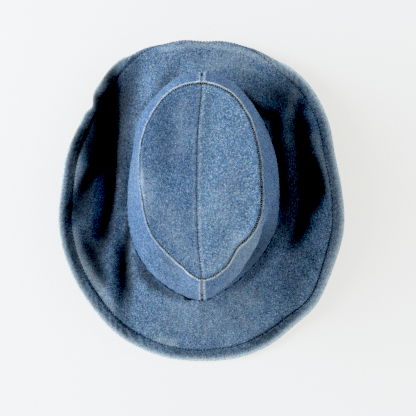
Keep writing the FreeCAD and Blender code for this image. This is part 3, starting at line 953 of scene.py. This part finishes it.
# ---- stitches
def stitch_row(name, line, normals, material, pitch, length, radius, sink, seed):
    """Separate stitches along a line of points: each is a rounded thread that dips in at its ends."""
    rng = np.random.default_rng(seed)
    steps = np.linalg.norm(np.diff(line, axis=0), axis=1)
    distance = np.concatenate(([0.0], np.cumsum(steps)))
    sides, rings = 7, 7
    verts, faces = [], []
    start = pitch * 0.5
    while start + length < distance[-1]:
        size = length * rng.uniform(0.92, 1.06)
        places = start + size * np.linspace(0, 1, rings)
        centre = np.stack([np.interp(places, distance, line[:, k]) for k in range(3)], axis=-1)
        up = np.stack([np.interp(places, distance, normals[:, k]) for k in range(3)], axis=-1)
        up /= np.linalg.norm(up, axis=-1, keepdims=True)
        ahead = np.gradient(centre, axis=0)
        ahead /= np.linalg.norm(ahead, axis=-1, keepdims=True)
        side = np.cross(ahead, up)
        share = np.linspace(-1, 1, rings)
        thick = radius * np.sqrt(np.maximum(0.06, 1 - share ** 4))
        lift = radius * 0.9 - sink - 0.9 * radius * share ** 4
        centre = centre + up * lift[:, None] + side * (rng.normal(0, 0.05))
        first = len(verts)
        for angle in 2 * np.pi * np.arange(sides) / sides:
            verts.extend(centre + thick[:, None] * (np.cos(angle) * side + np.sin(angle) * up))
        for j in range(sides):
            a, b = first + j * rings, first + (j + 1) % sides * rings
            faces.extend((a + k, b + k, b + k + 1, a + k + 1) for k in range(rings - 1))
        faces.append(tuple(first + j * rings for j in reversed(range(sides))))
        faces.append(tuple(first + j * rings + rings - 1 for j in range(sides)))
        start += pitch
    return new_piece(name, np.array(verts), faces, material)


def narrow_strip(surface, relief, first, second, step, side, along_first=True):
    """A line on a surface with its normals, found from a strip three points wide."""
    middle = np.array((-step, 0.0, step))
    a = first[:, None] + (0.0 * middle if along_first else middle)
    b = second[:, None] + (middle if along_first else 0.0 * middle)
    smooth = surface(a, b)
    normal = grid_normals(smooth, False) * side
    points = smooth + normal * relief(a, b)[..., None]
    return points[:, 1], normal[:, 1]


HEM_STITCH_INWARD = 0.006  # of the brim's width, inside the hem's own line
TIP_STITCH_INWARD = 0.8
TIP_STITCH_SUNK = 0.25
BAND_STITCH_ASIDE = 0.0032  # in turns
# Thread ends at the brim's edge: side of the hat, first and last place in turns, share of the brim's
# width, and pitch.
EDGE_TACKS = (("front", 0.744, 0.757, 0.965, 6.0), ("back", 0.254, 0.306, 0.905, 17.0))


def sew(name, node_name, slot, line, normals, material, **sizes):
    join(stitch_row(name, line, normals, material, **sizes), node_name)


def make_stitches():
    turns = np.linspace(0, 1, 1801)
    hem_line = hem_share(turns) - HEM_STITCH_INWARD
    line, up = narrow_strip(brim_surface, brim_relief, turns, hem_line, 0.002, -1)
    sew("stitches_hem", "topstitch_hem", "thread_dark", line, up, THREAD_DARK,
        pitch=3.0, length=2.3, radius=0.30, sink=0.1, seed=61)

    seam = outline(np.array(TIP_RADII) - TIP_STITCH_INWARD, turns)
    line = np.concatenate((seam, (ring(TIP_HEIGHTS, turns) - TIP_STITCH_SUNK)[:, None]), axis=1)
    up = np.tile((0.0, 0.0, 1.0), (len(turns), 1))
    sew("stitches_tip_edge", "topstitch_tip_edge", "thread_cream", line, up, THREAD_CREAM,
        pitch=1.95, length=0.62, radius=0.25, sink=0.0, seed=62)

    y = np.linspace(-66.0, 98.0, 700)
    up = np.tile((0.0, 0.0, 1.0), (len(y), 1))
    for name, aside in (("left", -0.65), ("right", 0.75)):
        x = np.full_like(y, CROWN_MIDDLE[0] + aside)
        line = bend_centre(np.stack((x, y, dome(x, y) + tip_relief(x, y)), axis=-1))
        sew("stitches_centre_" + name, "topstitch_centre_" + name, "thread_tan", line, up, THREAD_TAN,
            pitch=2.3, length=1.2, radius=0.18, sink=0.1, seed=63)

    h = np.linspace(0.06, 0.97, 300)
    for name, turn in (("front", FRONT_TURN + BAND_STITCH_ASIDE), ("back", BACK_TURN - BAND_STITCH_ASIDE)):
        line, up = narrow_strip(band_surface, band_relief, np.full_like(h, turn), h, 0.0005, 1, False)
        sew("stitches_band_" + name, "topstitch_band_" + name, "thread_tan", line, up, THREAD_TAN,
            pitch=2.4, length=1.7, radius=0.27, sink=0.1, seed=64)

    for name, start, end, u, pitch in EDGE_TACKS:
        spots = np.linspace(start, end, 80)
        line, up = narrow_strip(brim_surface, brim_relief, spots, np.full_like(spots, u), 0.002, -1)
        sew("tacks_" + name, "edge_tacks_" + name, "thread_orange", line, up, THREAD_ORANGE,
            pitch=pitch, length=1.9, radius=0.42, sink=0.0, seed=65)


def join_sheet(piece, node_name):
    join(piece, node_name)


def build_hat():
    join_sheet(make_brim_top(), "brim_top")
    stiffener = make_brim_layer("brim_stiffener", STIFFENER_DEPTH, INTERFACING, (0.03, 0.95), STIFFENER)
    join_sheet(stiffener, "brim_interfacing")
    under = make_brim_layer("brim_under_cloth", UNDER_DEPTH, BRIM_DENIM, (0.008, 0.972), DENIM_UNDER)
    join_sheet(under, "brim_under")

    for side, start, end in (("left", BACK_TURN, FRONT_TURN), ("right", FRONT_TURN, BACK_TURN + 1)):
        band = make_band("band_%s_cloth" % side, start + 0.0003, end - 0.0003)
        join_sheet(band, "band_" + side)
        lining = make_band_layer("lining_band_%s_cloth" % side, start + 0.001, end - 0.001, (0.05, 0.96),
                                 LINING_DEPTH, LINING, LINING_CLOTH)
        join_sheet(lining, "lining_band_" + side)
        tip = make_tip("tip_%s_cloth" % side, start + 0.004, end - 0.004, DENIM_TIP[side])
        join_sheet(tip, "tip_" + side)

    join_sheet(make_tip_lining(), "lining_tip")
    tape = make_band_layer("sweatband_tape", BACK_TURN + 0.001, BACK_TURN + 0.999, (0.02, 0.33),
                           SWEATBAND_DEPTH, SWEATBAND, TAPE_CLOTH)
    join_sheet(tape, "sweatband")
    make_stitches()


# ---- stage, light and camera
TABLE_HALF = 3.0
TABLE_GLOW = 0.70


def make_stage():
    material, tree, shader = new_material("pale_table", 0.9)
    place = node(tree, "ShaderNodeTexCoord").outputs["Object"]
    uneven = noise(tree, place, 3.0, 2.0, 0.5)
    tree.links.new(mix_colour(tree, uneven, (0.18, 0.20, 0.25), (0.20, 0.22, 0.27)),
              shader.inputs["Base Color"])
    shader.inputs["Emission Color"].default_value = (1.0, 0.98, 0.92, 1.0)
    shader.inputs["Emission Strength"].default_value = TABLE_GLOW
    corners = [(x * TABLE_HALF, y * TABLE_HALF, 0) for x, y in ((-1, -1), (1, -1), (1, 1), (-1, 1))]
    mesh = bpy.data.meshes.new("table_top")
    mesh.from_pydata(corners, [], [(0, 1, 2, 3)])
    link(mesh, "table_top", material)


WINDOW_PLACE = (-1.35, 0.22, 0.95)
WINDOW_TARGET = (0, 0, 0.05)
WINDOW_POWER = 18.0
BLACK_POINT = (0.0295, 0.0345, 0.042)
ROOM_CEILING = 0.18
ROOM_WALLS = 1.4
ROOM_LEFT = 0.25
ROOM_RISE = 0.36
ROOM_SPREAD = 0.26


def make_light():
    world = bpy.data.worlds.new("soft_room")
    world.use_nodes = True
    tree = world.node_tree
    way = node(tree, "ShaderNodeSeparateXYZ")
    tree.links.new(node(tree, "ShaderNodeTexCoord").outputs["Generated"], way.inputs[0])
    over = math_node(tree, "SUBTRACT", way.outputs["Z"], ROOM_RISE)
    rise = times(tree, over, 1 / ROOM_SPREAD)
    falling = times(tree, times(tree, rise, rise), -1.0)
    walls = times(tree, math_node(tree, "EXPONENT", falling), ROOM_WALLS)
    left = weighted(tree, ((way.outputs["X"], -ROOM_LEFT), (1.0, 1.0)))
    strength = math_node(tree, "ADD", times(tree, walls, left), ROOM_CEILING)
    background = tree.nodes["Background"]
    background.inputs["Color"].default_value = (0.95, 0.98, 1.0, 1.0)
    tree.links.new(strength, background.inputs["Strength"])
    light = bpy.data.lights.new("window", "AREA")
    light.shape = "DISK"
    light.size = 1.0
    light.energy = WINDOW_POWER
    light.color = (0.97, 0.985, 1.0)
    lamp = bpy.data.objects.new("window", light)
    lamp.location = WINDOW_PLACE
    lamp.rotation_mode = "QUATERNION"
    lamp.rotation_quaternion = (Vector(WINDOW_TARGET) - Vector(WINDOW_PLACE)).to_track_quat("-Z", "Y")
    scene = bpy.context.scene
    scene.collection.objects.link(lamp)
    scene.world = world
    view = scene.view_settings
    view.view_transform = "Standard"
    view.look = "None"
    view.use_curve_mapping = True
    view.curve_mapping.black_level = BLACK_POINT
    view.curve_mapping.update()


CAMERA_HEIGHT = 1.3
CAMERA_AXIS = (6.5, -7.3)  # where the camera looks straight down, in mm from the crown outlines' origin
VIEW_WIDTH = 0.4093


def make_camera():
    data = bpy.data.cameras.new("camera")
    data.sensor_width = 36.0
    data.lens = data.sensor_width * CAMERA_HEIGHT / VIEW_WIDTH
    data.clip_end = 20.0
    camera = bpy.data.objects.new("camera", data)
    camera.location = ((CAMERA_AXIS[0] + SHIFT[0]) * MM, (CAMERA_AXIS[1] + SHIFT[1]) * MM, CAMERA_HEIGHT)
    scene = bpy.context.scene
    scene.collection.objects.link(camera)
    bpy.context.scene.camera = camera
    # The denoiser wipes out a weave finer than a pixel and draws scratches in its place.
    scene.cycles.use_denoising = False


make_camera()
make_stage()
make_light()
build_hat()
